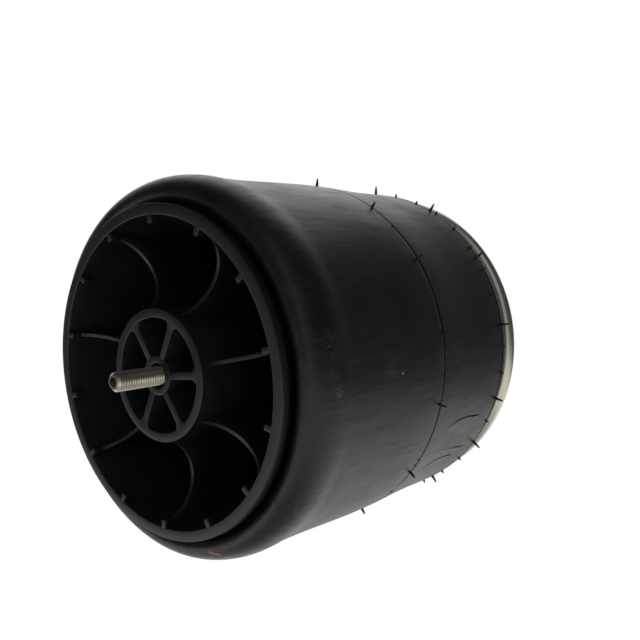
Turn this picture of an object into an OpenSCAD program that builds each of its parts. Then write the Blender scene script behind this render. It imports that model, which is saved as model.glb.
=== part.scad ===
// Rolling-lobe air suspension spring, standing on its piston with the bead plate on top.
// +Z is the spring's axis. The origin is the centre of the piston's foot, on the face that
// sits on the axle bracket. Lengths are in millimetres.

/* [Piston] */
// Outer radius of the piston's open foot
foot_r = 105; // [100:0.5:107]
// Width of the foot's flat face
foot_face_w = 7; // [5:0.5:10]
// Height of the piston from its foot to the bead seat
piston_h = 146.5; // [120:0.5:170]
// Thickness of the skirt's moulded wall
skirt_t = 4.5; // [3:0.1:6]
// Thickness of the piston's top deck
deck_t = 6; // [4:0.5:10]
// Chamfer inside the piston where its skirt meets the deck
deck_chamfer = 4; // [2:0.5:6]
// Height of the straight wall inside the piston's mouth
mouth_h = 9; // [8:0.5:14]
// Number of ribs between the hub tube and the skirt
rib_count = 7; // [3:1:10]
// Thickness of one rib
rib_t = 2.8; // [2:0.1:5]
// Radius of the round scallop in each rib's lower edge
scallop_r = 27; // [20:0.5:30]
// Distance from the hub tube's outside to the scallop's centre
scallop_from_hub = 26.5; // [22:0.5:28]
// Height of the scallop's centre below the foot's face
scallop_drop = 1.5; // [0:0.5:6]
// Number of short tabs round the mouth
tab_count = 14; // [7:1:28]
// Width of one tab
tab_w = 3.8; // [2:0.1:6]
// How far one tab stands in from the foot's inner edge
tab_reach = 5; // [3:0.1:8]
// Height of one tab
tab_h = 7; // [3:0.5:7.5]
// Angle of the first rib and of the first web about the axis
first_rib_angle = 77.5; // [0:0.5:360]

/* [Hub] */
// Outer radius of the hub tube
hub_r = 42; // [38:0.5:45]
// Thickness of the hub tube's wall
hub_t = 5.8; // [4:0.1:8]
// How far the hub's end lies above the foot's face
hub_recess = 0.5; // [0.2:0.1:3]
// Outer radius of the boss in the middle of the hub
boss_r = 12.4; // [11.5:0.1:15]
// Radius of the bore through the boss
boss_bore_r = 8; // [7.6:0.1:9]
// Number of webs between the boss and the hub tube
web_count = 6; // [3:1:8]
// Thickness of one web
web_t = 4.6; // [3:0.1:6]
// Fillet radius where a web runs into the hub tube
web_fillet_r = 5; // [2:0.5:6]
// Depth from the hub's end to the end of the steel sleeve
sleeve_recess = 6.5; // [5:0.5:12]

/* [Bellows] */
// Outer radius of the rolled lobe
lobe_r = 123.7; // [120:0.1:126]
// Outer radius of the slight waist behind the lobe
waist_r = 123.1; // [119:0.1:125]
// Outer radius of the sleeve at its two mould lines
sleeve_r = 126; // [124:0.1:130]
// How much the sleeve sinks between its mould lines
sleeve_sink = 0.7; // [0:0.1:2]
// Outer rubber cover of the bellows wall
cover_t = 2.2; // [1.5:0.1:2.6]
// Rubbered cord plies in the middle of the wall
ply_t = 1.7; // [1:0.1:2]
// Inner rubber liner of the wall
liner_t = 2.4; // [1.5:0.1:2.6]
// Height of the fold's lowest point above the foot
fold_rise = 7; // [6:0.5:14]
// Half height of the fold's oval section
fold_half_h = 22; // [18:0.5:24]
// Distance from the lobe's widest line up to the waist
waist_rise = 13; // [8:1:20]
// Radius at which the wrap lies on the piston just above the fold
wrap_r = 100; // [97:0.5:101]
// Radius of the wrap at the piston's shoulder
wrap_top_r = 93; // [91:0.5:96]
// Outer radius of the piston's rounded shoulder under the wrap
seat_round = 9; // [7:0.5:10]
// Height of the lower mould line above the foot
mould_line_z = 137; // [110:1:160]
// Distance from the upper mould line up to the bead plate's top face
neck_drop = 30; // [28:0.5:34]
// Height of the sleeve's rounded shoulder under the bead plate
shoulder_h = 15.5; // [13.5:0.5:15.5]

/* [Bead plate] */
// Height from the foot to the bead plate's top face, at rest
plate_z = 258; // [256:0.5:262]
// Thickness of the plate's steel
plate_t = 2.5; // [1.5:0.1:3]
// Largest radius of the plate, over its rolled edge
plate_r = 123.8; // [121.5:0.1:124.5]
// How far the neck of the bellows lies inside the plate's edge
neck_inset = 13.3; // [11:0.1:14]
// How far round the sheet is rolled under, counted from the plate's top
roll_turn = 215; // [200:5:220]
// Outer radius of the rolled edge's section
roll_r = 6; // [5.6:0.1:6.4]
// Distance between the two mounting studs
stud_spacing = 130; // [110:1:150]
// Free length of a mounting stud above the plate
top_stud_l = 30; // [20:1:45]
// How much thicker a mounting stud is where its knurl sits in the plate
knurl_step = 0.5; // [0.3:0.05:1]
// Radius of a mounting stud's weld head under the plate
weld_head_r = 11; // [8:0.5:13]
// Thickness of the weld head
weld_head_t = 3; // [2:0.5:4]
// Distance from the axis to the air inlet
inlet_offset = 70; // [62:1:80]
// Outer radius of the air inlet's boss
inlet_r = 14; // [12:0.5:16]
// Height of the air inlet's boss above the plate
inlet_h = 14; // [8:0.5:22]
// Width of the flange that holds the boss under the plate
inlet_flange_w = 3; // [2:0.5:4]
// Thickness of that flange
inlet_flange_t = 3; // [2:0.5:4]
// Thickness of the flat seal between the flange and the plate
inlet_seal_t = 1.5; // [1:0.1:2]
// How far the seal's edge lies inside the flange's edge
inlet_seal_inset = 0.5; // [0:0.1:1.5]
// Radius of the air inlet's threaded port
port_r = 8; // [5:0.1:9]
// Radius of the air passage below the port
passage_r = 4; // [3:0.1:4.8]

/* [Fasteners] */
// Radius of every M12 stud
stud_r = 6; // [5.5:0.1:6.5]
// How far the piston's stud stands below the foot
stud_drop = 31.3; // [20:0.1:45]
// Chamfer on the ends of the studs
stud_chamfer = 1.5; // [0.5:0.1:2]
// Height of the neck above the piston stud's free thread
neck_h = 4; // [2:0.5:6]
// Depth of that neck
neck_depth = 1; // [0.5:0.1:1.5]
// How far the piston's stud stands above its nut
stud_over_nut = 4; // [2:0.5:8]
// Width across the flats of the hexagon socket in the stud's end
socket_af = 6; // [4:0.5:7]
// Depth of that socket
socket_d = 7; // [4:0.5:12]
// Width across the flats of the nut
nut_af = 19; // [18:0.5:22]
// Height of the nut
nut_h = 10; // [8:0.5:12]
// Height of the chamfer on the nut's corners
nut_chamfer = 1.2; // [0.5:0.1:2]
// Chamfer on small turned edges
edge_chamfer = 1; // [0.5:0.1:1.5]
// Outer radius of the washer
washer_r = 12; // [11:0.5:14]
// Thickness of the washer
washer_t = 2.5; // [1.5:0.1:3]

/* [Bead clamp] */
// Height of the lower bead
bead_h = 11; // [10:0.5:14]
// Outer radius of the lower bead
bead_r = 82; // [80.5:0.5:83]
// Radius of the spigot that centres the lower bead
spigot_r = 65.5; // [62:0.5:66]
// Height of that spigot above the bead seat
spigot_h = 5.5; // [4:0.5:6]
// How far the end closure reaches out past the lower bead
closure_over = 1; // [0:0.1:1.5]
// How far the wire bundle lies inward of the lower bead's middle
wire_inset = 1; // [0.5:0.1:1.5]
// How far the wire bundle lies above the lower bead's middle
wire_rise = 0.5; // [0:0.1:0.8]
// Steel thickness of the end closure that clamps the bead
closure_t = 3; // [2:0.5:4]
// Radius of the wire bundle's section in each bead
lower_wire_r = 3.2; // [2:0.1:3.5]
// Radius of the upper wire bundle's section
upper_wire_r = 2; // [1.5:0.1:2.4]
// Radius of the closure seal's circle
seal_r = 50; // [40:0.5:55]
// Radius of the seal's own section
seal_section_r = 1.5; // [1:0.1:2]

/* [Bumper] */
// Radius of the bumper's foot
bumper_r = 45; // [40:0.5:48]
// Radius of the bumper's top
bumper_top_r = 37; // [30:0.5:42]
// Travel left between the bumper and the bead plate at rest
bumper_gap = 8.5; // [8.4:0.1:14]
// Rounding of the bumper's top edge
bumper_round = 6; // [3:0.5:9]
// Radius of the well round the nut
bumper_well_r = 15.5; // [14:0.5:20]
// Radius of the vent hole through the bumper
bumper_hole_r = 9; // [6:0.5:12]
// How far the well reaches above the stud's end
bumper_well_over = 8; // [6:0.5:14]
// Height of the cone from the well up to the vent hole
bumper_cone_h = 10; // [6:0.5:14]
// Height of the bumper's waist above its foot
bumper_waist_z = 22; // [18:0.5:26]
// Half height of the waist's groove
bumper_waist_h = 10; // [7:0.5:12]
// Depth of the waist's groove
bumper_waist_d = 5; // [2:0.5:8]
// Steel thickness of the plate bonded under the bumper
bumper_base_t = 3; // [2:0.5:4]
// How far that plate's edge lies inside the bumper's foot
bumper_base_inset = 1; // [0:0.5:3]

/* [Clearances] */
// Gap between the bellows and the piston, and between parts that move apart
running_gap = 0.5; // [0.3:0.1:0.8]
// Gap between the ends of the bellows and its beads
bead_gap = 0.3; // [0.2:0.05:0.5]
// Gap of a close fit between parts that don't move apart
fit_gap = 0.05; // [0.02:0.01:0.1]
// Gap round the closure seal in its groove
groove_gap = 0.3; // [0.1:0.1:0.6]
// Gap between a stud and what it passes through
stud_gap = 0.15; // [0.1:0.05:0.4]

/* [Hidden] */
$fn = 96;

// How far a cutting body stands past the face that it cuts
cut_over = 1;

// Bellows wall and the oval fold at the bottom of the rolling lobe
wall_t = cover_t + ply_t + liner_t;
fold_half_w = (lobe_r - wrap_r) / 2;
fold_r = wrap_r + fold_half_w;
fold_z = fold_rise + fold_half_h;
waist_z = fold_z + waist_rise;

// The wrap runs over the piston's shoulder to the lower bead
seat_r = wrap_top_r - seat_round;
seat_z = piston_h + running_gap - seat_round;

// The sleeve turns in under the bead plate and folds back out to the upper bead
neck_z = plate_z - neck_drop;
neck_r = plate_r - neck_inset;
shoulder_w = sleeve_r - neck_r;
roll_centre_r = plate_r - roll_r;
roll_centre_z = plate_z - roll_r;
roll_inner_r = roll_r - plate_t;
roll_end = 90 - roll_turn;
plate_under_z = plate_z - plate_t;
turn_outer_r = (plate_under_z - fit_gap - (neck_z + shoulder_h - wall_t)) / 2;
turn_z = neck_z + shoulder_h - wall_t + turn_outer_r;
turn_inner_r = turn_outer_r - wall_t;

// Levels of the stack that the piston's stud clamps together
spigot_z = piston_h + spigot_h;
clamp_z = piston_h + bead_h;
base_z = spigot_z + closure_t;
washer_z = base_z + bumper_base_t;
nut_z = washer_z + washer_t;
stud_top_z = nut_z + nut_h + stud_over_nut;
bumper_top_z = plate_under_z - bumper_gap;
bead_wire_z = piston_h + bead_h / 2 + wire_rise;
closure_rise = clamp_z - spigot_z;
bead_inner_r = spigot_r + bead_gap;
bead_wire_r = (bead_inner_r + closure_rise + bead_r) / 2 - wire_inset;
rib_step = 360 / rib_count;
sleeve_z = hub_recess + sleeve_recess;

// Points on an oval arc, from angle a0 to angle a1
function oval(cr, cz, a, b, a0, a1, steps) =
    [for (i = [0:steps]) let (q = a0 + (a1 - a0) * i / steps) [cr + a * cos(q), cz + b * sin(q)]];

// Points on a smooth S from one radius and height to the next, its last point left out
function swell(r0, z0, r1, z1, steps) =
    [for (i = [0:steps - 1]) let (u = i / steps)
        [r0 + (r1 - r0) * (1 - cos(180 * u)) / 2, z0 + (z1 - z0) * u]];

function moved(points, dr) = [for (p = points) [p[0] + dr, p[1]]];
function backwards(points) = [for (i = [len(points) - 1:-1:0]) points[i]];

// Outside line of the sleeve, from the upper mould line down to the top of the lobe
sleeve_line = concat(
    swell(sleeve_r, neck_z, sleeve_r - sleeve_sink, (neck_z + mould_line_z) / 2, 4),
    swell(sleeve_r - sleeve_sink, (neck_z + mould_line_z) / 2, sleeve_r, mould_line_z, 4),
    swell(sleeve_r, mould_line_z, waist_r, waist_z, 8),
    swell(waist_r, waist_z, lobe_r, fold_z, 3));

// One line through the bellows wall at the given depth under its cover
function wall_line(depth) = concat(
    oval(neck_r, neck_z, shoulder_w - depth, shoulder_h - depth, 90, 4, 10),
    moved(sleeve_line, -depth),
    oval(fold_r, fold_z, fold_half_w - depth, fold_half_h - depth, 0, -180, 20),
    oval(seat_r, seat_z, seat_round + depth, seat_round + depth, 0, 90, 8),
    [[bead_r + bead_gap, seat_z + seat_round + depth]]);

module wall_layer(depth, thickness)
    rotate_extrude() polygon(concat(wall_line(depth), backwards(wall_line(depth + thickness))));

module ring(r_in, r_out, z, h)
    rotate_extrude() polygon([[r_in, z], [r_out, z], [r_out, z + h], [r_in, z + h]]);

module torus(centre_r, z, section_r)
    rotate_extrude() translate([centre_r, z]) circle(section_r, $fn = 48);

// The skirt's outside follows the fold and the wrap, one running gap inside them
foot_oval_a = fold_half_w + running_gap;
foot_oval_b = fold_half_h + running_gap;
foot_angle = acos((foot_r - fold_r) / foot_oval_a);
skirt_outside = concat(
    [[foot_r, 0]],
    oval(fold_r, fold_z, foot_oval_a, foot_oval_b, -foot_angle, -180, 10),
    oval(seat_r, seat_z, seat_round - running_gap, seat_round - running_gap, 0, 90, 8));
mouth_r = foot_r - foot_face_w;
skirt_mid_r = wrap_r - running_gap - skirt_t;
skirt_top_r = wrap_top_r - running_gap - skirt_t;
deck_z = piston_h - deck_t;
skirt_inside = [[mouth_r, 0], [mouth_r, mouth_h], [skirt_mid_r, fold_z], [skirt_top_r, seat_z]];

module skirt_and_deck()
    rotate_extrude() polygon(concat(
        skirt_outside,
        [[spigot_r, piston_h], [spigot_r, spigot_z], [0, spigot_z], [0, deck_z],
         [skirt_top_r - deck_chamfer, deck_z]],
        backwards(skirt_inside)));

// A rib reaches from the hub tube into the skirt, with a round scallop in its lower edge
scallop_centre_r = hub_r + scallop_from_hub;
module rib()
    rotate([90, 0, 0]) difference() {
        linear_extrude(rib_t, center = true) polygon([
            [hub_r - hub_t / 2, hub_recess],
            [mouth_r + foot_face_w / 4, hub_recess],
            [skirt_mid_r + skirt_t / 3, fold_z],
            [skirt_top_r + skirt_t / 3, seat_z],
            [skirt_top_r - deck_chamfer, deck_z + deck_t / 2],
            [hub_r - hub_t / 2, deck_z + deck_t / 2]]);
        translate([scallop_centre_r, -scallop_drop, 0])
            cylinder(r = scallop_r, h = rib_t + 2 * cut_over, center = true);
    }

module tab()
    translate([mouth_r - tab_reach, -tab_w / 2, 0]) cube([tab_reach + foot_face_w / 2, tab_w, tab_h]);

// A web widens into the hub tube with a fillet on each side
web_end_r = hub_r - hub_t;
function web_half(r) = let (d = max(0, web_fillet_r - (web_end_r - r)))
    web_t / 2 + web_fillet_r - sqrt(web_fillet_r * web_fillet_r - d * d);
web_radii = [for (i = [0:6]) web_end_r - web_fillet_r * (1 - i / 6)];
module web() {
    side = concat([[boss_r - 2, web_t / 2]], [for (r = web_radii) [r, web_half(r)]],
                  [[hub_r - hub_t / 3, web_t / 2 + web_fillet_r]]);
    linear_extrude(deck_z + deck_t / 2 - hub_recess)
        polygon(concat(side, backwards([for (p = side) [p[0], -p[1]]])));
}

module piston_shell() color("#26272a") difference() {
    union() {
        skirt_and_deck();
        ring(web_end_r, hub_r, hub_recess, deck_z + deck_t / 2 - hub_recess);
        translate([0, 0, hub_recess]) cylinder(r = boss_r, h = deck_z + deck_t / 2 - hub_recess);
        for (i = [0:web_count - 1])
            rotate([0, 0, first_rib_angle + i * 360 / web_count]) translate([0, 0, hub_recess]) web();
        for (i = [0:rib_count - 1]) rotate([0, 0, first_rib_angle + i * rib_step]) rib();
        for (i = [0:tab_count - 1]) rotate([0, 0, first_rib_angle + i * 360 / tab_count]) tab();
    }
    translate([0, 0, -cut_over]) cylinder(r = boss_bore_r, h = spigot_z + 2 * cut_over);
    ring(seal_r - seal_section_r - groove_gap, seal_r + seal_section_r + groove_gap,
         spigot_z - 2 * seal_section_r, 2 * seal_section_r + cut_over);
}

module hub_sleeve() color("#8f9092")
    ring(stud_r + stud_gap, boss_bore_r - fit_gap, sleeve_z, spigot_z - sleeve_z);

// Full-length M12 stud with a hexagon socket in its free end and a neck where the free thread ends
module piston_stud() color("#cfc8b4") difference() {
    rotate_extrude() polygon([
        [0, -stud_drop], [stud_r - stud_chamfer, -stud_drop], [stud_r, stud_chamfer - stud_drop],
        [stud_r, sleeve_z - neck_h / 2], [stud_r - neck_depth, sleeve_z],
        [stud_r - neck_depth, sleeve_z + neck_h], [stud_r, sleeve_z + neck_h + neck_depth],
        [stud_r, stud_top_z - stud_chamfer], [stud_r - stud_chamfer, stud_top_z], [0, stud_top_z]]);
    translate([0, 0, -stud_drop - cut_over])
        cylinder(r = socket_af / 2 / cos(30), h = socket_d + cut_over, $fn = 6);
}

module stud_nut() color("#c9c4b2") difference() {
    intersection() {
        translate([0, 0, nut_z]) cylinder(r = nut_af / 2 / cos(30), h = nut_h, $fn = 6);
        rotate_extrude() polygon([
            [0, nut_z], [nut_af / 2, nut_z], [nut_af / 2 + 2, nut_z + nut_chamfer],
            [nut_af / 2 + 2, nut_z + nut_h - nut_chamfer], [nut_af / 2, nut_z + nut_h], [0, nut_z + nut_h]]);
    }
    translate([0, 0, nut_z - cut_over]) cylinder(r = stud_r + fit_gap, h = nut_h + 2 * cut_over);
}

module stud_washer() color("#c9c4b2") ring(stud_r + stud_gap, washer_r, washer_z, washer_t);

// Pressed steel disc: flat in the middle, with a raised rim that clamps the lower bead
module end_closure() color("#b9b7ac") rotate_extrude() polygon([
    [stud_r + stud_gap, spigot_z], [spigot_r, spigot_z], [spigot_r + closure_rise, clamp_z],
    [bead_r + closure_over, clamp_z], [bead_r + closure_over, clamp_z + closure_t],
    [spigot_r + closure_rise - closure_t / 2, clamp_z + closure_t],
    [spigot_r - closure_t / 2, base_z], [stud_r + stud_gap, base_z]]);

module closure_seal() color("#1d1d1d") torus(seal_r, spigot_z - seal_section_r, seal_section_r);

// The lower bead's inner corner is cut back to clear the closure's cone
module lower_bead() color("#202124") rotate_extrude() difference() {
    polygon([
        [bead_inner_r, piston_h], [bead_r, piston_h], [bead_r, clamp_z],
        [spigot_r + closure_rise + 2 * bead_gap, clamp_z], [bead_inner_r, spigot_z - bead_gap]]);
    translate([bead_wire_r, bead_wire_z]) circle(lower_wire_r + fit_gap, $fn = 48);
}

module lower_bead_wire() color("#a8a49a") torus(bead_wire_r, bead_wire_z, lower_wire_r);

bumper_bottom_z = base_z + bumper_base_t;
waist_mid_z = bumper_bottom_z + bumper_waist_z;
well_z = stud_top_z + bumper_well_over;
module bumper() color("#232427") rotate_extrude() polygon(concat(
    [[bumper_well_r, bumper_bottom_z], [bumper_r, bumper_bottom_z],
     [bumper_r, waist_mid_z - bumper_waist_h]],
    oval(bumper_r, waist_mid_z, bumper_waist_d, 0.7 * bumper_waist_h, -120, -240, 8),
    [[bumper_r, waist_mid_z + bumper_waist_h]],
    oval(bumper_top_r - bumper_round, bumper_top_z - bumper_round, bumper_round, bumper_round, 0, 90, 6),
    [[bumper_hole_r, bumper_top_z], [bumper_hole_r, well_z + bumper_cone_h], [bumper_well_r, well_z]]));

module bumper_base() color("#b9b7ac")
    ring(stud_r + stud_gap, bumper_r - bumper_base_inset, base_z, bumper_base_t);

module bellows_cover() color("#1f2022") wall_layer(0, cover_t);
module bellows_ply() color("#6b5a3c") wall_layer(cover_t, ply_t);
module bellows_liner() color("#2a2b2d") wall_layer(cover_t + ply_t, liner_t);

// Rubber of the upper bead: it fills the rolled edge and folds back to meet the shoulder
upper_web_r = neck_r - bead_gap;
module upper_bead() color("#202124") rotate_extrude() difference() {
    polygon(concat(
        oval(roll_centre_r, roll_centre_z, roll_inner_r - fit_gap, roll_inner_r - fit_gap, 90, roll_end, 14),
        oval(upper_web_r, turn_z, turn_inner_r, turn_inner_r, 90, 270, 8),
        oval(upper_web_r, turn_z, turn_outer_r, turn_outer_r, 270, 90, 12)));
    translate([roll_centre_r, roll_centre_z]) circle(upper_wire_r + fit_gap, $fn = 48);
}

module upper_bead_wire() color("#a8a49a") torus(roll_centre_r, roll_centre_z, upper_wire_r);

module bead_plate() color("#d8d6c4") difference() {
    rotate_extrude() polygon(concat(
        [[0, plate_under_z], [0, plate_z]],
        oval(roll_centre_r, roll_centre_z, roll_r, roll_r, 90, roll_end, 18),
        oval(roll_centre_r, roll_centre_z, roll_inner_r, roll_inner_r, roll_end, 90, 18)));
    for (side = [-1, 1])
        translate([side * stud_spacing / 2, 0, plate_under_z - cut_over])
            cylinder(r = stud_r + knurl_step + fit_gap, h = plate_t + 2 * cut_over);
    translate([0, -inlet_offset, plate_under_z - cut_over])
        cylinder(r = inlet_r + fit_gap, h = plate_t + 2 * cut_over);
}

// Weld stud: its head lies under the plate and its shank stands up through it
module mounting_stud(side) translate([side * stud_spacing / 2, 0, 0]) rotate_extrude() polygon([
    [0, plate_under_z - weld_head_t], [weld_head_r - edge_chamfer, plate_under_z - weld_head_t],
    [weld_head_r, plate_under_z - weld_head_t + edge_chamfer], [weld_head_r, plate_under_z],
    [stud_r + knurl_step, plate_under_z], [stud_r + knurl_step, plate_z], [stud_r, plate_z],
    [stud_r, plate_z + top_stud_l - stud_chamfer],
    [stud_r - stud_chamfer, plate_z + top_stud_l], [0, plate_z + top_stud_l]]);
module mounting_stud_left() color("#cfc8b4") mounting_stud(-1);
module mounting_stud_right() color("#cfc8b4") mounting_stud(1);

// Turned steel boss with a threaded port, held by a flange under the plate
inlet_flange_r = inlet_r + inlet_flange_w;
flange_z = plate_under_z - inlet_seal_t;
module air_inlet() color("#c4c1b0") translate([0, -inlet_offset, 0]) rotate_extrude() polygon([
    [passage_r, flange_z - inlet_flange_t], [inlet_flange_r, flange_z - inlet_flange_t],
    [inlet_flange_r, flange_z], [inlet_r, flange_z], [inlet_r, plate_z + inlet_h - edge_chamfer],
    [inlet_r - edge_chamfer, plate_z + inlet_h], [port_r, plate_z + inlet_h],
    [port_r, plate_z + edge_chamfer], [passage_r, plate_z - edge_chamfer]]);

// Flat ring between the boss's flange and the plate
module inlet_seal() color("#1d1d1d") translate([0, -inlet_offset, 0])
    ring(inlet_r + fit_gap, inlet_flange_r - inlet_seal_inset, flange_z, inlet_seal_t);

piston_shell();
hub_sleeve();
piston_stud();
stud_nut();
stud_washer();
end_closure();
closure_seal();
lower_bead();
lower_bead_wire();
bumper();
bumper_base();
bellows_cover();
bellows_ply();
bellows_liner();
upper_bead();
upper_bead_wire();
bead_plate();
mounting_stud_left();
mounting_stud_right();
air_inlet();
inlet_seal();
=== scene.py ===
import math

import bpy
from mathutils import Matrix, Vector


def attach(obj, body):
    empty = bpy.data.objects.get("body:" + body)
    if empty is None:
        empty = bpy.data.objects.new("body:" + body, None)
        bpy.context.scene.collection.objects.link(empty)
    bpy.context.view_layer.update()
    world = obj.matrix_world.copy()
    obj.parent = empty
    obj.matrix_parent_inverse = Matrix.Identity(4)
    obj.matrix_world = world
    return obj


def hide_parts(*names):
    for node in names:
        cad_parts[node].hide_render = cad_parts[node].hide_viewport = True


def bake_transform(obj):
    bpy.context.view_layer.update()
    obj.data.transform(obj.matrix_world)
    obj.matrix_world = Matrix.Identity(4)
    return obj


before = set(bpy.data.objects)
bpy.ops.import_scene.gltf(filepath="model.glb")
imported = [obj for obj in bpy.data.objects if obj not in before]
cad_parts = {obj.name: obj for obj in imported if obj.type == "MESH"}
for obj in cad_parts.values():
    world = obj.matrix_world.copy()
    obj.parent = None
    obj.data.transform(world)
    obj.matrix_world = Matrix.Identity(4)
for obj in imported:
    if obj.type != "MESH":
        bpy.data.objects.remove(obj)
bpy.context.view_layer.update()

# Camera
# The photograph was taken from below the piston's foot, off to one side, so that the spring
# lies with its bead plate away to the right. The shift moves the lens's middle as there.
mm = 0.001
photo_right = Vector((-0.62159, 0.47088, 0.62601))
photo_up = Vector((0.67168, 0.73161, 0.11662))
photo_away = Vector((0.40308, -0.49297, 0.77104))
photo_eye = (-235.81 * mm, 264.7 * mm, -270.83 * mm)
picture_px = 640
focal_px = 700
shift_px = 50
sensor_w = 36
lens_data = bpy.data.cameras.new("photo_lens")
lens_data.sensor_width = sensor_w
lens_data.lens = sensor_w * focal_px / picture_px
lens_data.shift_y = shift_px / picture_px
camera = bpy.data.objects.new("photo_camera", lens_data)
camera.matrix_world = Matrix.Translation(photo_eye) @ Matrix(
    (photo_right, photo_up, -photo_away)).transposed().to_4x4()
bpy.context.scene.collection.objects.link(camera)
bpy.context.scene.camera = camera
bpy.context.scene.view_settings.view_transform = "Standard"


# World
# A white sweep stands behind the spring and a white table lies below it, with the spring's own
# shade on it. The room on the camera's side is dim, but for one lit strip of wall behind the
# camera. So the rubber is near black in the middle and pale where it is seen edge on.
def linear(hex_colour):
    """Turns an sRGB hex colour into the linear values that Blender's sockets hold."""
    parts = [int(hex_colour[i:i + 2], 16) / 255 for i in (1, 3, 5)]
    return [p / 12.92 if p <= 0.04045 else ((p + 0.055) / 1.055) ** 2.4 for p in parts] + [1.0]


def add_node(tree, kind, links=None, values=None, **settings):
    """Adds one node with its settings, its socket values and its incoming links."""
    made = tree.nodes.new(kind)
    for key, value in settings.items():
        setattr(made, key, value)
    for key, value in (values or {}).items():
        made.inputs[key].default_value = value
    for key, source in (links or {}).items():
        tree.links.new(source, made.inputs[key])
    return made


room = bpy.data.worlds.new("room")
bpy.context.scene.world = room
room.use_nodes = True
room_tree = room.node_tree
room_tree.nodes.clear()
sweep_middle = (photo_away - photo_right * 0.12).normalized()
strip_middle = 0.13
seen_from = add_node(room_tree, "ShaderNodeTexCoord").outputs["Generated"]
sweep_side = add_node(
    room_tree, "ShaderNodeVectorMath", {0: seen_from}, {1: sweep_middle}, operation="DOT_PRODUCT")
table_side = add_node(
    room_tree, "ShaderNodeVectorMath", {0: seen_from}, {1: -photo_up}, operation="DOT_PRODUCT")
sweep_glow = add_node(
    room_tree, "ShaderNodeMapRange", {"Value": sweep_side.outputs["Value"]},
    {"From Min": 0.4, "From Max": 0.85, "To Min": 0.0, "To Max": 1.1},
    interpolation_type="SMOOTHSTEP")
table_glow = add_node(
    room_tree, "ShaderNodeMapRange", {"Value": table_side.outputs["Value"]},
    {"From Min": 0.14, "From Max": 0.38, "To Min": 0.0, "To Max": 1.0},
    interpolation_type="SMOOTHSTEP")
own_shade = add_node(
    room_tree, "ShaderNodeMapRange", {"Value": table_side.outputs["Value"]},
    {"From Min": 0.55, "From Max": 0.95, "To Min": 1.0, "To Max": 0.3},
    interpolation_type="SMOOTHSTEP")
lit_table = add_node(
    room_tree, "ShaderNodeMath", {0: table_glow.outputs[0], 1: own_shade.outputs[0]},
    operation="MULTIPLY")
both_glows = add_node(
    room_tree, "ShaderNodeMath", {0: sweep_glow.outputs[0], 1: lit_table.outputs[0]},
    operation="MAXIMUM")
right_side = add_node(
    room_tree, "ShaderNodeVectorMath", {0: seen_from}, {1: photo_right}, operation="DOT_PRODUCT")
behind_camera = add_node(
    room_tree, "ShaderNodeVectorMath", {0: seen_from}, {1: -photo_away}, operation="DOT_PRODUCT")
dim_room = add_node(
    room_tree, "ShaderNodeMapRange", {"Value": right_side.outputs["Value"]},
    {"From Min": -0.3, "From Max": 0.6, "To Min": 0.045, "To Max": 0.065})
from_strip = add_node(
    room_tree, "ShaderNodeMath", {0: right_side.outputs["Value"]}, {1: strip_middle},
    operation="SUBTRACT")
beside_strip = add_node(room_tree, "ShaderNodeMath", {0: from_strip.outputs[0]}, operation="ABSOLUTE")
strip_width = add_node(
    room_tree, "ShaderNodeMapRange", {"Value": beside_strip.outputs[0]},
    {"From Min": 0.12, "From Max": 0.4, "To Min": 1.0, "To Max": 0.0}, interpolation_type="SMOOTHSTEP")
strip_reach = add_node(
    room_tree, "ShaderNodeMapRange", {"Value": behind_camera.outputs["Value"]},
    {"From Min": 0.3, "From Max": 0.7, "To Min": 0.0, "To Max": 0.4}, interpolation_type="SMOOTHSTEP")
lit_strip = add_node(
    room_tree, "ShaderNodeMath",
    {0: strip_width.outputs[0], 1: strip_reach.outputs[0], 2: dim_room.outputs[0]},
    operation="MULTIPLY_ADD")
whole_room = add_node(
    room_tree, "ShaderNodeMath", {0: both_glows.outputs[0], 1: lit_strip.outputs[0]},
    operation="MAXIMUM")
ray = add_node(room_tree, "ShaderNodeLightPath")
seen_white = add_node(
    room_tree, "ShaderNodeMath",
    {0: ray.outputs["Is Camera Ray"], 1: ray.outputs["Is Transmission Ray"]}, operation="MAXIMUM")
room_strength = add_node(
    room_tree, "ShaderNodeMix", {0: seen_white.outputs[0], 2: whole_room.outputs[0]}, {3: 1.0})
table_share = add_node(
    room_tree, "ShaderNodeMath", {0: lit_table.outputs[0], 1: sweep_glow.outputs[0]},
    operation="SUBTRACT", use_clamp=True)
room_tint = add_node(
    room_tree, "ShaderNodeMix", {0: table_share.outputs[0]},
    {6: linear("#ffffff"), 7: linear("#fffaf3")}, data_type="RGBA")
ray_tint = add_node(
    room_tree, "ShaderNodeMix", {0: seen_white.outputs[0], 6: room_tint.outputs[2]},
    {7: linear("#ffffff")}, data_type="RGBA")
room_back = add_node(
    room_tree, "ShaderNodeBackground",
    {"Strength": room_strength.outputs[0], "Color": ray_tint.outputs[2]})
add_node(room_tree, "ShaderNodeOutputWorld", {"Surface": room_back.outputs[0]})


# Floor
# A pale studio floor well under the spring, clear of its stud and of the low camera. It takes
# the spring's shadow, but it is left out of the spring's own reflections: the photograph's table
# and sweep, which the room's light stands for, are what the real one mirrors.
def start_clean():
    """Leaves edit mode and deselects all, because an operator acts on what is selected."""
    if bpy.context.object and bpy.context.object.mode != "OBJECT":
        bpy.ops.object.mode_set(mode="OBJECT")
    bpy.ops.object.select_all(action="DESELECT")


def new_finish(name):
    """Starts a material, and returns it with its node tree and its shader."""
    made = bpy.data.materials.new(name)
    made.use_nodes = True
    return made, made.node_tree, made.node_tree.nodes["Principled BSDF"]


def dress(piece, material):
    """Gives a piece one material in place of what it has."""
    piece.data.materials.clear()
    piece.data.materials.append(material)


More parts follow.
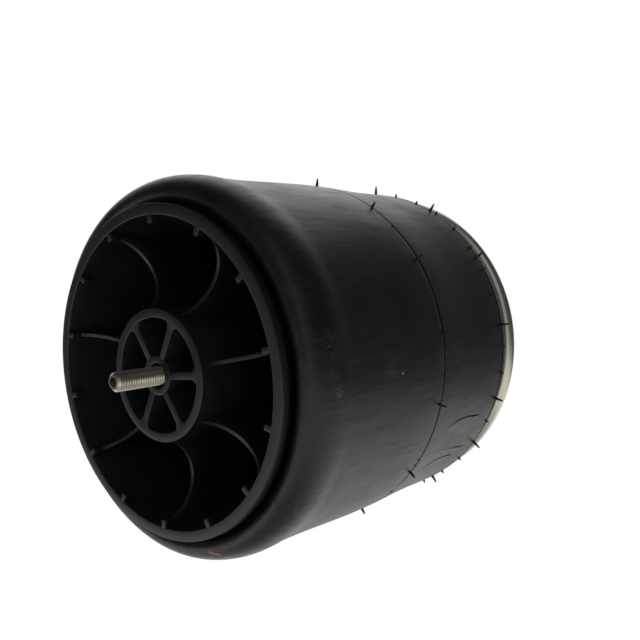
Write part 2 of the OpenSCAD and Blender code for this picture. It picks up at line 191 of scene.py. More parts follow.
floor_z = -1.4
floor_r = 6
start_clean()
bpy.ops.mesh.primitive_circle_add(
    vertices=64, radius=floor_r, fill_type="NGON", location=(0, 0, floor_z))
floor = bpy.context.object
floor.name = "studio_floor"
bpy.ops.object.transform_apply(location=True, rotation=True, scale=True)
floor_paint, tree, skin = new_finish("pale_floor_paint")
skin.inputs["Base Color"].default_value = linear("#dededc")
skin.inputs["Roughness"].default_value = 0.8
dress(floor, floor_paint)
floor.visible_glossy = False
floor.visible_diffuse = False

# Lamps
# Two weak soft boxes, over and under the spring as the photograph frames it, graze the sleeve
# from behind. One straight before the foot keeps the piston's ribs readable, and isn't mirrored.
spring_middle = Vector((0, 0, 125 * mm))


def soft_box(name, away, width, height, watts, mirrored=True):
    """Hangs one rectangular soft box that faces the spring's middle."""
    lamp = bpy.data.lights.new(name, "AREA")
    lamp.shape = "RECTANGLE"
    lamp.size = width
    lamp.size_y = height
    lamp.energy = watts
    box = bpy.data.objects.new(name, lamp)
    box.matrix_world = Matrix.Translation(spring_middle + away) @ (
        away.to_track_quat("Z", "Y").to_matrix().to_4x4())
    box.visible_glossy = mirrored
    bpy.context.scene.collection.objects.link(box)


soft_box("box_over", photo_up * 1.0 + photo_away * 0.8, 1.4, 0.9, 3)
soft_box("box_under", -photo_up * 0.9 + photo_away * 0.5 + photo_right * 0.5, 1.4, 1.0, 0.4)
soft_box("box_before_foot", Vector((0, 0, -1.25)) + photo_up * 0.15, 1.4, 1.4, 2.1, mirrored=False)

# Piston moulding
# The piston is one injection moulding in black glass-filled nylon: a tapered skirt with a deck,
# a hub tube on six webs, seven scalloped ribs and fourteen pegs round its mouth.
foot_r = 105
mouth_r = 98
mouth_z = 9
skirt_t = 4.5
skirt_step = 4
fold_half_w = 11.85
fold_half_h = 22
fold_r = 111.85
fold_z = 29
wrap_r = 100
wrap_top_r = 93
running_gap = 0.5
piston_h = 146.5
deck_z = 140.5
spigot_r = 65.5
spigot_z = 152
seat_round = 9
seat_r = wrap_top_r - seat_round
seat_z = piston_h + running_gap - seat_round
hub_r = 42
hub_t = 5.8
hub_z = 0.5
boss_r = 12.4
bore_r = 8
first_angle = 77.5
bury = 1


def on_oval(centre_r, centre_z, half_w, half_h, start, end, steps):
    """Points on an oval arc in the turned profile, as radius and height in millimetres."""
    turns = [math.radians(start + (end - start) * i / steps) for i in range(steps + 1)]
    return [(centre_r + half_w * math.cos(q), centre_z + half_h * math.sin(q)) for q in turns]


def turned(name, line, steps=192, ends="joined"):
    """Draws a ring at each point of the profile, one extrude after another, as on a lathe.
    The ends are joined to each other for a hollow body, capped for a solid one, or left open."""
    start_clean()
    last_r, last_z = line[0]
    bpy.ops.mesh.primitive_circle_add(
        vertices=steps, radius=last_r * mm, location=(0, 0, last_z * mm),
        fill_type="NGON" if ends == "capped" else "NOTHING")
    made = bpy.context.object
    made.name = name
    bpy.ops.object.transform_apply(location=True, rotation=True, scale=True)
    bpy.ops.object.mode_set(mode="EDIT")
    bpy.ops.mesh.select_mode(type="FACE" if ends == "capped" else "EDGE")
    bpy.ops.mesh.select_all(action="SELECT")
    for r, z in line[1:] + (line[:1] if ends == "joined" else []):
        rise = {"value": (0, 0, (z - last_z) * mm)}
        if ends == "capped":
            bpy.ops.mesh.extrude_region_move(TRANSFORM_OT_translate=rise)
        else:
            bpy.ops.mesh.extrude_edges_move(TRANSFORM_OT_translate=rise)
        bpy.ops.transform.resize(value=(r / last_r, r / last_r, 1), center_override=(0, 0, z * mm))
        last_r, last_z = r, z
    bpy.ops.mesh.select_all(action="SELECT")
    bpy.ops.mesh.remove_doubles(threshold=0.001 * mm)
    bpy.ops.mesh.normals_make_consistent(inside=False)
    bpy.ops.object.mode_set(mode="OBJECT")
    return made


def finish_edges(piece, width, segments=3, sharp=35):
    """Rounds the sharp edges by the given width in millimetres, and shades the rest smooth."""
    start_clean()
    piece.select_set(True)
    bpy.context.view_layer.objects.active = piece
    if width:
        bevel = piece.modifiers.new("edge_round", "BEVEL")
        bevel.width = width * mm
        bevel.segments = segments
        bevel.limit_method = "ANGLE"
        bevel.angle_limit = math.radians(sharp)
        bpy.ops.object.modifier_apply(modifier=bevel.name)
    bpy.ops.object.shade_smooth_by_angle(angle=math.radians(sharp))


def join_all(name, pieces):
    """Joins pieces of one moulding or one set into a single object."""
    start_clean()
    for piece in pieces:
        piece.select_set(True)
    bpy.context.view_layer.objects.active = pieces[0]
    bpy.ops.object.join()
    pieces[0].name = name
    pieces[0].data.name = name
    return pieces[0]


# Skirt: its flank follows the fold. The foot's corner is cut back for the lobe's lowest place.
relief_low_z = 6.3
relief_top_z = 9.1
relief_d = 2.1
relief_turn = -137
skirt_line = (
    [(foot_r, 0), (foot_r, relief_low_z), (foot_r - relief_d, relief_top_z)]
    + on_oval(fold_r, fold_z, fold_half_w + running_gap, fold_half_h + running_gap,
              relief_turn, -180, 16)
    + on_oval(seat_r, seat_z, seat_round - running_gap, seat_round - running_gap, 0, 90, 10)
    + [(spigot_r, piston_h), (spigot_r, spigot_z), (bore_r, spigot_z), (bore_r, deck_z),
       (wrap_top_r - running_gap - skirt_t - skirt_step, deck_z),
       (wrap_top_r - running_gap - skirt_t, seat_z),
       (wrap_r - running_gap - skirt_t, fold_z), (mouth_r, mouth_z), (mouth_r, 0)])
skirt = turned("skirt", skirt_line)
finish_edges(skirt, 0.6)
hub_top_z = deck_z + bury
hub_tube = turned("hub_tube", [
    (hub_r, hub_z), (hub_r, hub_top_z), (hub_r - hub_t, hub_top_z), (hub_r - hub_t, hub_z)], 128)
finish_edges(hub_tube, 0.5)
boss = turned("boss", [
    (boss_r, hub_z), (boss_r, hub_top_z), (bore_r, hub_top_z), (bore_r, hub_z)], 96)
finish_edges(boss, 0.5)
moulding_parts = [skirt, hub_tube, boss]


def select_where(piece, rule):
    """Selects, in edit mode, just the corners whose place passes the rule."""
    bpy.ops.object.mode_set(mode="OBJECT")
    for corner in piece.data.vertices:
        corner.select = rule(corner.co / mm)
    for edge in piece.data.edges:
        edge.select = all(piece.data.vertices[i].select for i in edge.vertices)
    for face in piece.data.polygons:
        face.select = all(piece.data.vertices[i].select for i in face.vertices)
    bpy.ops.object.mode_set(mode="EDIT")


def copy_round(piece, count, first, step):
    """Copies a piece about the axis, each copy with its own mesh, and removes the original."""
    copies = []
    for i in range(count):
        twin = bpy.data.objects.new(f"{piece.name}_{i + 1}", piece.data.copy())
        twin.data.transform(Matrix.Rotation(math.radians(first + i * step), 4, "Z"))
        bpy.context.scene.collection.objects.link(twin)
        copies.append(twin)
    bpy.data.objects.remove(piece)
    return copies


def block(name, low, high):
    """Adds a block between two corners, given in millimetres."""
    start_clean()
    middle = [(a + b) / 2 * mm for a, b in zip(low, high)]
    bpy.ops.mesh.primitive_cube_add(size=1, location=middle)
    made = bpy.context.object
    made.name = name
    made.scale = [(b - a) * mm for a, b in zip(low, high)]
    bpy.ops.object.transform_apply(location=True, rotation=True, scale=True)
    return made


def cut_away(piece, tool, operation="DIFFERENCE"):
    """Applies a Boolean with a tool body, and removes the tool."""
    start_clean()
    piece.select_set(True)
    bpy.context.view_layer.objects.active = piece
    cut = piece.modifiers.new("cut", "BOOLEAN")
    cut.operation = operation
    cut.solver = "EXACT"
    cut.object = tool
    bpy.ops.object.modifier_apply(modifier=cut.name)
    bpy.data.objects.remove(tool)


# Ribs: a plate that follows the skirt's taper, with a round scallop cut in its lower edge
rib_count = 7
rib_t = 2.8
rib_foot_r = mouth_r + 1.8
rib_top_r = 83.5
scallop_r = 27
scallop_middle_r = 68.5
scallop_middle_z = -1.5
rib = block("rib", (hub_r - 2 * bury, -rib_t / 2, hub_z), (rib_foot_r, rib_t / 2, hub_top_z))
bpy.ops.object.mode_set(mode="EDIT")
for level in (mouth_z, fold_z, seat_z):
    bpy.ops.mesh.select_all(action="SELECT")
    bpy.ops.mesh.bisect(plane_co=(0, 0, level * mm), plane_no=(0, 0, 1))
for level, wall_r in (
        (fold_z, wrap_r - skirt_t + bury), (seat_z, wrap_top_r - skirt_t + bury),
        (hub_top_z, rib_top_r)):
    select_where(rib, lambda p: p.x > mouth_r and abs(p.z - level) < 0.2)
    bpy.ops.transform.translate(value=((wall_r - rib_foot_r) * mm, 0, 0))
bpy.ops.object.mode_set(mode="OBJECT")
start_clean()
bpy.ops.mesh.primitive_cylinder_add(
    vertices=144, radius=scallop_r * mm, depth=10 * mm,
    location=(scallop_middle_r * mm, 0, scallop_middle_z * mm), rotation=(math.pi / 2, 0, 0))
cut_away(rib, bpy.context.object)
finish_edges(rib, 0.45)
moulding_parts += copy_round(rib, rib_count, first_angle, 360 / rib_count)

# Pegs: short square tabs inside the mouth, flush with the foot's face
tab_count = 14
tab_w = 3.8
tab_reach = 5
tab_low_z = 0.05
tab_high_z = 7
tab = block(
    "tab", (mouth_r - tab_reach, -tab_w / 2, tab_low_z), (mouth_r + 3 * bury, tab_w / 2, tab_high_z))
finish_edges(tab, 0.5)
moulding_parts += copy_round(tab, tab_count, first_angle, 360 / tab_count)

# Webs: six walls from the boss to the hub tube, flared into the tube with a fillet on each side
web_count = 6
web_t = 4.6
web_low_z = hub_z + 0.02
web_flare = 5
flare_steps = 7
web_end_r = hub_r - hub_t
web_buried_r = web_end_r + 2 * bury
web = block(
    "web", (boss_r - 2 * bury, -web_t / 2, web_low_z), (web_buried_r, web_t / 2, hub_top_z))
flare_places = [web_end_r - web_flare * (1 - i / flare_steps) for i in range(flare_steps)]
bpy.ops.object.mode_set(mode="EDIT")
for along in flare_places:
    bpy.ops.mesh.select_all(action="SELECT")
    bpy.ops.mesh.bisect(plane_co=(along * mm, 0, 0), plane_no=(1, 0, 0))
for i, along in enumerate(flare_places[1:] + [web_buried_r], 1):
    reach = web_flare * i / flare_steps
    half = web_t / 2 + web_flare - math.sqrt(max(0, web_flare ** 2 - reach ** 2))
    select_where(web, lambda p: abs(p.x - along) < 0.05)
    bpy.ops.transform.resize(value=(1, half / (web_t / 2), 1), center_override=(0, 0, 0))
finish_edges(web, 0.4)
moulding_parts += copy_round(web, web_count, first_angle, 360 / web_count)

piston = join_all("piston_moulding", moulding_parts)
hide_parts("piston_shell")
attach(piston, "piston")

# Black glass-filled nylon, injection moulded: fine spark-eroded grain, a faint grey bloom where
# the fibres come to the surface, and a soft, wide highlight
nylon, tree, skin = new_finish("black_moulded_nylon")
place = add_node(tree, "ShaderNodeTexCoord").outputs["Object"]
bloom = add_node(
    tree, "ShaderNodeTexNoise", {"Vector": place}, {"Scale": 45, "Detail": 6, "Roughness": 0.6})
fibre = add_node(
    tree, "ShaderNodeTexNoise", {"Vector": place}, {"Scale": 900, "Detail": 3, "Roughness": 0.7})
bloom_range = add_node(
    tree, "ShaderNodeMapRange", {"Value": bloom.outputs[0]},
    {"From Min": 0.35, "From Max": 0.75, "To Min": 0.0, "To Max": 1.0})
nylon_colour = add_node(
    tree, "ShaderNodeMix", {0: bloom_range.outputs[0]},
    {6: linear("#1e1f20"), 7: linear("#27282a")}, data_type="RGBA")
tree.links.new(nylon_colour.outputs[2], skin.inputs["Base Color"])
nylon_rough = add_node(
    tree, "ShaderNodeMapRange", {"Value": fibre.outputs[0]}, {"To Min": 0.36, "To Max": 0.5})
tree.links.new(nylon_rough.outputs[0], skin.inputs["Roughness"])
nylon_grain = add_node(
    tree, "ShaderNodeBump", {"Height": fibre.outputs[0]}, {"Strength": 0.1, "Distance": 0.06 * mm})
tree.links.new(nylon_grain.outputs[0], skin.inputs["Normal"])
skin.inputs["IOR"].default_value = 1.53
dress(piston, nylon)

# Hub sleeve
# A plain steel tube pressed into the boss, so that the stud's clamp force doesn't crush the
# nylon. It keeps its CAD shape and gets the dull grey of cut, phosphated steel.
phosphated, tree, skin = new_finish("phosphated_steel")
place = add_node(tree, "ShaderNodeTexCoord").outputs["Object"]
crystals = add_node(
    tree, "ShaderNodeTexNoise", {"Vector": place}, {"Scale": 700, "Detail": 4, "Roughness": 0.7})
steel_colour = add_node(
    tree, "ShaderNodeMix", {0: crystals.outputs[0]},
    {6: linear("#3a3b3c"), 7: linear("#66676a")}, data_type="RGBA")
tree.links.new(steel_colour.outputs[2], skin.inputs["Base Color"])
steel_grain = add_node(
    tree, "ShaderNodeBump", {"Height": crystals.outputs[0]}, {"Strength": 0.3, "Distance": 0.05 * mm})
tree.links.new(steel_grain.outputs[0], skin.inputs["Normal"])
skin.inputs["Metallic"].default_value = 0.85
skin.inputs["Roughness"].default_value = 0.55


def finish_nodes(material, names):
    """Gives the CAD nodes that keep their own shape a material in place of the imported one."""
    for name in names:
        dress(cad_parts[name], material)


finish_nodes(phosphated, ["hub_sleeve", "end_closure", "bumper_base"])

# Piston stud
# An M12 stud with a rolled thread and a hexagon socket in its end, bright zinc plated with a
# warm passivation. Only the free thread shows; the rest is a plain shank inside the boss.
stud_r = 6
stud_tip_z = -31.3
stud_top_z = 177.5
stud_neck_z = 5
pitch = 1.75
tooth_shares = {"flank": 0.40, "crest": 0.12, "root": 0.08}
thread_root_r = 5.05
tip_chamfer = 1.7
cut_past = 0.2
core_r = 3
socket_af = 6
socket_d = 7
weld = 0.002 * mm


def rolled_thread(name, root_r, crest_r, low_z, high_z):
    """Screws one tooth round the axis and trims the thread square at both ends."""
    start_clean()
    bpy.ops.mesh.primitive_plane_add(size=mm, location=(root_r * mm, 0, (low_z - 2 * pitch) * mm))
    made = bpy.context.object
    made.name = name
    bpy.ops.object.transform_apply(location=True, rotation=True, scale=True)
    bpy.ops.object.mode_set(mode="EDIT")
    bpy.ops.mesh.select_mode(type="VERT")
    bpy.ops.mesh.merge(type="CENTER")
    tooth = crest_r - root_r
    for out, part in ((tooth, "flank"), (0, "crest"), (-tooth, "flank"), (0, "root")):
        bpy.ops.mesh.extrude_vertices_move(
            TRANSFORM_OT_translate={"value": (out * mm, 0, tooth_shares[part] * pitch * mm)})
    bpy.ops.object.mode_set(mode="OBJECT")
    screw = made.modifiers.new("screw", "SCREW")
    screw.steps = 40
    screw.render_steps = 40
    screw.screw_offset = pitch * mm
    screw.iterations = math.ceil((high_z - low_z) / pitch) + 4
    bpy.ops.object.modifier_apply(modifier=screw.name)
    bpy.ops.object.mode_set(mode="EDIT")
    bpy.ops.mesh.select_all(action="SELECT")
    bpy.ops.mesh.remove_doubles(threshold=weld)
    for level, outward in ((low_z, -1), (high_z, 1)):
        bpy.ops.mesh.select_all(action="SELECT")
        bpy.ops.mesh.bisect(
            plane_co=(0, 0, level * mm), plane_no=(0, 0, outward), use_fill=True, clear_outer=True,
            threshold=0.001 * mm)
    bpy.ops.mesh.select_all(action="SELECT")
    bpy.ops.mesh.remove_doubles(threshold=weld)
    bpy.ops.mesh.normals_make_consistent(inside=False)
    bpy.ops.object.mode_set(mode="OBJECT")
    return made


def hexagon(across_flats, low_z, high_z):
    """Adds a hexagonal tool body for a socket."""
    start_clean()
    bpy.ops.mesh.primitive_cylinder_add(
        vertices=6, radius=across_flats / 2 / math.cos(math.pi / 6) * mm, depth=(high_z - low_z) * mm,
        location=(0, 0, (low_z + high_z) / 2 * mm))
    bpy.ops.object.transform_apply(location=True, rotation=True, scale=True)
    return bpy.context.object


stud_thread = rolled_thread("stud_thread", thread_root_r, stud_r, stud_tip_z, stud_neck_z)
tip_form = turned("tip_form", [
    (stud_r - tip_chamfer, stud_tip_z - 0.1), (stud_r + cut_past, stud_tip_z + tip_chamfer + 0.1),
    (stud_r + cut_past, stud_neck_z + 1), (core_r, stud_neck_z + 1)], 64, "capped")
cut_away(stud_thread, tip_form, "INTERSECT")
cut_away(stud_thread, hexagon(socket_af, stud_tip_z - 1, stud_tip_z + socket_d))
finish_edges(stud_thread, 0, sharp=28)
stud_shank = turned("stud_shank", [
    (core_r, stud_neck_z - 0.5), (stud_r - 1, stud_neck_z - 0.5), (stud_r - 1, 11), (stud_r, 12),
    (stud_r, stud_top_z - 1.5), (stud_r - 1.5, stud_top_z), (core_r, stud_top_z)], 64, "capped")
finish_edges(stud_shank, 0)
stud = join_all("piston_stud_threaded", [stud_thread, stud_shank])
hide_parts("piston_stud")
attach(stud, "piston")

# Zinc plate on steel: bright, a little warm from its passivation, with fine blotches where
# fingers and storage have dulled it
zinc, tree, skin = new_finish("passivated_zinc")
place = add_node(tree, "ShaderNodeTexCoord").outputs["Object"]
blotch = add_node(
    tree, "ShaderNodeTexNoise", {"Vector": place}, {"Scale": 120, "Detail": 5, "Roughness": 0.6})
spangle = add_node(tree, "ShaderNodeTexNoise", {"Vector": place}, {"Scale": 1500, "Detail": 2})
zinc_colour = add_node(
    tree, "ShaderNodeMix", {0: blotch.outputs[0]},
    {6: linear("#b0aa9a"), 7: linear("#dcd8cb")}, data_type="RGBA")
tree.links.new(zinc_colour.outputs[2], skin.inputs["Base Color"])
zinc_rough = add_node(
    tree, "ShaderNodeMapRange", {"Value": blotch.outputs[0]}, {"To Min": 0.38, "To Max": 0.22})
tree.links.new(zinc_rough.outputs[0], skin.inputs["Roughness"])
zinc_grain = add_node(
    tree, "ShaderNodeBump", {"Height": spangle.outputs[0]}, {"Strength": 0.12, "Distance": 0.03 * mm})
tree.links.new(zinc_grain.outputs[0], skin.inputs["Normal"])
skin.inputs["Metallic"].default_value = 1
dress(stud, zinc)
finish_nodes(zinc, ["stud_nut", "stud_washer", "lower_bead_wire", "upper_bead_wire"])

# Bumper, beads and seals
# Solid mouldings in black natural rubber that sit inside the bellows or in its clamped ends.
# They keep their CAD shapes, with the matt, faintly cloudy skin of moulded rubber.
inner_rubber, tree, skin = new_finish("moulded_black_rubber")
place = add_node(tree, "ShaderNodeTexCoord").outputs["Object"]
cloud = add_node(
    tree, "ShaderNodeTexNoise", {"Vector": place}, {"Scale": 60, "Detail": 6, "Roughness": 0.65})
rubber_colour = add_node(
    tree, "ShaderNodeMix", {0: cloud.outputs[0]},
    {6: linear("#17181a"), 7: linear("#26272a")}, data_type="RGBA")
tree.links.new(rubber_colour.outputs[2], skin.inputs["Base Color"])
rubber_grain = add_node(
    tree, "ShaderNodeBump", {"Height": cloud.outputs[0]}, {"Strength": 0.2, "Distance": 0.1 * mm})
tree.links.new(rubber_grain.outputs[0], skin.inputs["Normal"])
skin.inputs["Roughness"].default_value = 0.62
skin.inputs["IOR"].default_value = 1.52
finish_nodes(inner_rubber, ["bumper", "closure_seal", "lower_bead", "upper_bead", "inlet_seal"])

# Bellows
# A cord-reinforced rubber sleeve. Its lower end is clamped on the piston and folds outwards
# into the rolling lobe; its upper end turns in under the bead plate. The wall is 6.3 mm thick.
# It is two pieces: the sleeve stretches between lobe and plate, the wrap between piston and lobe.
wall_t = 6.3
lobe_r = 123.7
waist_r = 123.1
waist_z = 42
sleeve_r = 126
sleeve_sink = 0.7
line_low_z = 137
line_high_z = 226.5
line_d = 0.2
line_floor = 0.15
line_edge = 0.6
neck_z = 228
shoulder_r = 15.5
bead_end_r = 82.3
seam_turn = -135
wrap_steps = 16
wall_steps = 216


def swell(r0, z0, r1, z1, steps):
    """Points on a smooth S between two stations, without the first."""
    shares = [i / steps for i in range(1, steps + 1)]
    return [(r0 + (r1 - r0) * (1 - math.cos(math.pi * u)) / 2, z0 + (z1 - z0) * u) for u in shares]


upper_mid_z = (neck_z + line_low_z) / 2
wall_side = (
    swell(lobe_r, fold_z, waist_r, waist_z, 6)
    + swell(waist_r, waist_z, sleeve_r, line_low_z, 40)
    + swell(sleeve_r, line_low_z, sleeve_r - sleeve_sink, upper_mid_z, 14)
    + swell(sleeve_r - sleeve_sink, upper_mid_z, sleeve_r, neck_z, 14))
for line_z in (line_low_z, line_high_z):
    wall_side = [p for p in wall_side if abs(p[1] - line_z) > 2 * line_edge] + [
        (sleeve_r, line_z - line_edge), (sleeve_r - line_d, line_z - line_floor),
        (sleeve_r - line_d, line_z + line_floor), (sleeve_r, line_z + line_edge)]
wall_side.sort(key=lambda p: p[1])
sleeve_line = (
    on_oval(fold_r, fold_z, fold_half_w, fold_half_h, seam_turn, 0, 30) + wall_side
    + on_oval(sleeve_r - shoulder_r, neck_z, shoulder_r, shoulder_r, 5, 90, 12))
wrap_line = (
    [(bead_end_r, seat_z + seat_round)]
    + on_oval(seat_r, seat_z, seat_round, seat_round, 90, 0, 10)
    + [(wrap_top_r + (wrap_r - wrap_top_r) * i / wrap_steps,
        seat_z + (fold_z - seat_z) * i / wrap_steps) for i in range(1, wrap_steps)]
    + on_oval(fold_r, fold_z, fold_half_w, fold_half_h, -180, seam_turn, 12))


def rubber_wall(name, line, at, outward):
    """Turns the cover's line and gives it the wall's thickness on the chamber's side. The face
    nearest the point at looks along outward, which is the cover's side."""
    made = turned(name, line, wall_steps, "open")
    nearest = min(made.data.polygons, key=lambda f: (f.center / mm - Vector(at)).length)
    if nearest.normal.dot(Vector(outward)) < 0:
        bpy.ops.object.mode_set(mode="EDIT")
        bpy.ops.mesh.select_all(action="SELECT")
        bpy.ops.mesh.flip_normals()
        bpy.ops.object.mode_set(mode="OBJECT")
    wall = made.modifiers.new("wall", "SOLIDIFY")
    wall.thickness = wall_t * mm
    wall.offset = -1
    wall.use_even_offset = True
    bpy.ops.object.modifier_apply(modifier=wall.name)
    bpy.ops.object.shade_smooth_by_angle(angle=math.radians(50))
    rest_place = made.data.attributes.new("rest_place", "FLOAT_VECTOR", "POINT")
    for corner in made.data.vertices:
        rest_place.data[corner.index].vector = corner.co
    return made


sleeve = rubber_wall("bellows_sleeve", sleeve_line, (sleeve_r, 0, 180), (1, 0, 0))
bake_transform(sleeve)
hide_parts("bellows_cover", "bellows_ply", "bellows_liner")
wrap = rubber_wall("bellows_wrap", wrap_line, (96, 0, 90), (-1, 0, 0))
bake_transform(wrap)
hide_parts("bellows_cover", "bellows_ply", "bellows_liner")

# Cured cover rubber from a polished mould: near black, with a grey bloom in broad clouds, faint
# streaks along the cords, dust and a short crayon stroke on the lobe, painted shade along the mould
# lines, and three flow marks near the plate, each a painted shade in its crease with a painted
# highlight on one side, and pale scuffs beside them
cover, tree, skin = new_finish("cured_cover_rubber")
place = add_node(tree, "ShaderNodeAttribute", attribute_name="rest_place").outputs["Vector"]
bloom = add_node(
    tree, "ShaderNodeTexNoise", {"Vector": place}, {"Scale": 14, "Detail": 7, "Roughness": 0.62})
bloom_share = add_node(
    tree, "ShaderNodeMapRange", {"Value": bloom.outputs[0]},
    {"From Min": 0.42, "From Max": 0.72, "To Min": 0.0, "To Max": 1.0})
bloomed = add_node(
    tree, "ShaderNodeMix", {0: bloom_share.outputs[0]},
    {6: linear("#131415"), 7: linear("#202224")}, data_type="RGBA")
along_cords = add_node(tree, "ShaderNodeMapping", {"Vector": place}, {"Scale": (1.0, 1.0, 0.09)})
streak = add_node(
    tree, "ShaderNodeTexNoise", {"Vector": along_cords.outputs[0]},
    {"Scale": 260, "Detail": 5, "Roughness": 0.6})
streak_share = add_node(
    tree, "ShaderNodeMapRange", {"Value": streak.outputs[0]},
    {"From Min": 0.55, "From Max": 0.8, "To Min": 0.0, "To Max": 0.45})
streaked = add_node(
    tree, "ShaderNodeMix", {0: streak_share.outputs[0], 6: bloomed.outputs[2]},
    {7: linear("#36383a")}, data_type="RGBA")
axes = add_node(tree, "ShaderNodeSeparateXYZ", {"Vector": place})
height_mm = add_node(tree, "ShaderNodeMath", {0: axes.outputs["Z"]}, {1: 1000}, operation="MULTIPLY")
minus_x = add_node(tree, "ShaderNodeMath", {0: axes.outputs["X"]}, {1: -1}, operation="MULTIPLY")
minus_y = add_node(tree, "ShaderNodeMath", {0: axes.outputs["Y"]}, {1: -1}, operation="MULTIPLY")
turn = add_node(
    tree, "ShaderNodeMath", {0: minus_y.outputs[0], 1: minus_x.outputs[0]}, operation="ARCTAN2")
round_mm = add_node(tree, "ShaderNodeMath", {0: turn.outputs[0]}, {1: sleeve_r}, operation="MULTIPLY")
mark_span = 30
mark_dark = 0.35
mark_end = 0.95
pale_w = 7.0
low_fade = 24
high_fade = 6


def larger(shares):
    """The largest of several shares at each place."""
    most = shares[0]
    for share in shares[1:]:
        most = add_node(tree, "ShaderNodeMath", {0: most, 1: share}, operation="MAXIMUM").outputs[0]
    return most


def flow_mark(low_z, high_z, course):
    """One flow mark up the sleeve. course holds its place in degrees past the -x side, at even
    steps of height. Returns the share of painted shade along its crease and that of the painted
    highlight beside it, on one side only."""
    climb = add_node(
        tree, "ShaderNodeMapRange", {"Value": height_mm.outputs[0]},
        {"From Min": low_z, "From Max": high_z})
    path = add_node(tree, "ShaderNodeFloatCurve", {"Value": climb.outputs[0]})
    curve = path.mapping.curves[0]
    spots = [
        (i / (len(course) - 1), 0.5 + turned_by / (2 * mark_span))
        for i, turned_by in enumerate(course)]
    curve.points[0].location, curve.points[1].location = spots[0], spots[-1]
    for spot in spots[1:-1]:
        curve.points.new(*spot)
    path.mapping.update()
    path_mm = add_node(
        tree, "ShaderNodeMapRange", {"Value": path.outputs[0]},
        {"To Min": math.radians(-mark_span) * sleeve_r, "To Max": math.radians(mark_span) * sleeve_r},
        clamp=False)
    beside = add_node(
        tree, "ShaderNodeMath", {0: round_mm.outputs[0], 1: path_mm.outputs[0]}, operation="SUBTRACT")
    nearness = add_node(tree, "ShaderNodeMath", {0: beside.outputs[0]}, operation="ABSOLUTE")
    # Painted shade along the crease
    line = add_node(
        tree, "ShaderNodeMapRange", {"Value": nearness.outputs[0]},
        {"From Min": mark_dark, "From Max": mark_end, "To Min": 1.0, "To Max": 0.0})
    # Painted highlight beside the crease, on one side only
    pale = add_node(
        tree, "ShaderNodeMapRange", {"Value": beside.outputs[0]},
        {"From Min": pale_w, "From Max": 0.8, "To Min": 0.0, "To Max": 0.3},
        interpolation_type="SMOOTHSTEP")
    right_of = add_node(
        tree, "ShaderNodeMath", {0: beside.outputs[0]}, {1: 0.4}, operation="GREATER_THAN")
    low_end = add_node(
        tree, "ShaderNodeMapRange", {"Value": height_mm.outputs[0]},
        {"From Min": low_z, "From Max": low_z + low_fade})
    high_end = add_node(
        tree, "ShaderNodeMapRange", {"Value": height_mm.outputs[0]},
        {"From Min": high_z - high_fade, "From Max": high_z, "To Min": 1.0, "To Max": 0.0})
    ends = add_node(
        tree, "ShaderNodeMath", {0: low_end.outputs[0], 1: high_end.outputs[0]}, operation="MULTIPLY")
    dark_share = add_node(
        tree, "ShaderNodeMath", {0: line.outputs[0], 1: ends.outputs[0]}, operation="MULTIPLY")
    pale_side = add_node(
        tree, "ShaderNodeMath", {0: pale.outputs[0], 1: right_of.outputs[0]}, operation="MULTIPLY")
    pale_share = add_node(
        tree, "ShaderNodeMath", {0: pale_side.outputs[0], 1: ends.outputs[0]}, operation="MULTIPLY")
    return dark_share.outputs[0], pale_share.outputs[0]


def mould_line_painted_shade(line_z):
    """Painted shade along the groove where two halves of the mould met."""
    from_line = add_node(
        tree, "ShaderNodeMath", {0: height_mm.outputs[0]}, {1: line_z}, operation="SUBTRACT")
    nearness = add_node(tree, "ShaderNodeMath", {0: from_line.outputs[0]}, operation="ABSOLUTE")
    return add_node(
        tree, "ShaderNodeMapRange", {"Value": nearness.outputs[0]},
        {"From Min": 0.5, "From Max": mark_end, "To Min": 1.0, "To Max": 0.0}).outputs[0]


def smudge(centre, radius, strength, tall=1.0):
    """How much of a soft smudge, taller than wide where tall is over 1, lies at each place."""
    apart = add_node(
        tree, "ShaderNodeVectorMath", {0: place}, {1: [c * mm for c in centre]}, operation="SUBTRACT")
    drawn = add_node(
        tree, "ShaderNodeVectorMath", {0: apart.outputs[0]}, {1: (1, 1, 1 / tall)},
        operation="MULTIPLY")
    reach = add_node(tree, "ShaderNodeVectorMath", {0: drawn.outputs[0]}, operation="LENGTH")
    return add_node(
        tree, "ShaderNodeMapRange", {"Value": reach.outputs["Value"]},
        {"From Min": radius * mm, "From Max": radius * 0.15 * mm, "To Min": 0.0, "To Max": strength},
        interpolation_type="SMOOTHSTEP").outputs[0]


first_crease_shade, first_crease_highlight = flow_mark(156, 209, (-14.6, -16.8, -17.6, -17.7, -17.2, -16.7))
second_crease_shade, second_crease_highlight = flow_mark(176, 211, (-5.0, -4.6, -4.3, -3.6, -3.3))
third_crease_shade, third_crease_highlight = flow_mark(147, 200, (2.6, 0.6, -0.6, -1.0, -0.6, 0.2))
wander = add_node(
    tree, "ShaderNodeTexNoise", {"Vector": place}, {"Scale": 45, "Detail": 7, "Roughness": 0.6})
off_wander = add_node(tree, "ShaderNodeMath", {0: wander.outputs[0]}, {1: 0.5}, operation="SUBTRACT")
near_wander = add_node(tree, "ShaderNodeMath", {0: off_wander.outputs[0]}, operation="ABSOLUTE")
hair = add_node(
    tree, "ShaderNodeMapRange", {"Value": near_wander.outputs[0]},
    {"From Min": 0.001, "From Max": 0.006, "To Min": 0.5, "To Max": 0.0})
hair_patch = add_node(tree, "ShaderNodeTexNoise", {"Vector": place}, {"Scale": 22, "Detail": 1})
hair_where = add_node(
    tree, "ShaderNodeMapRange", {"Value": hair_patch.outputs[0]}, {"From Min": 0.64, "From Max": 0.7})
hair_share = add_node(
    tree, "ShaderNodeMath", {0: hair.outputs[0], 1: hair_where.outputs[0]}, operation="MULTIPLY")
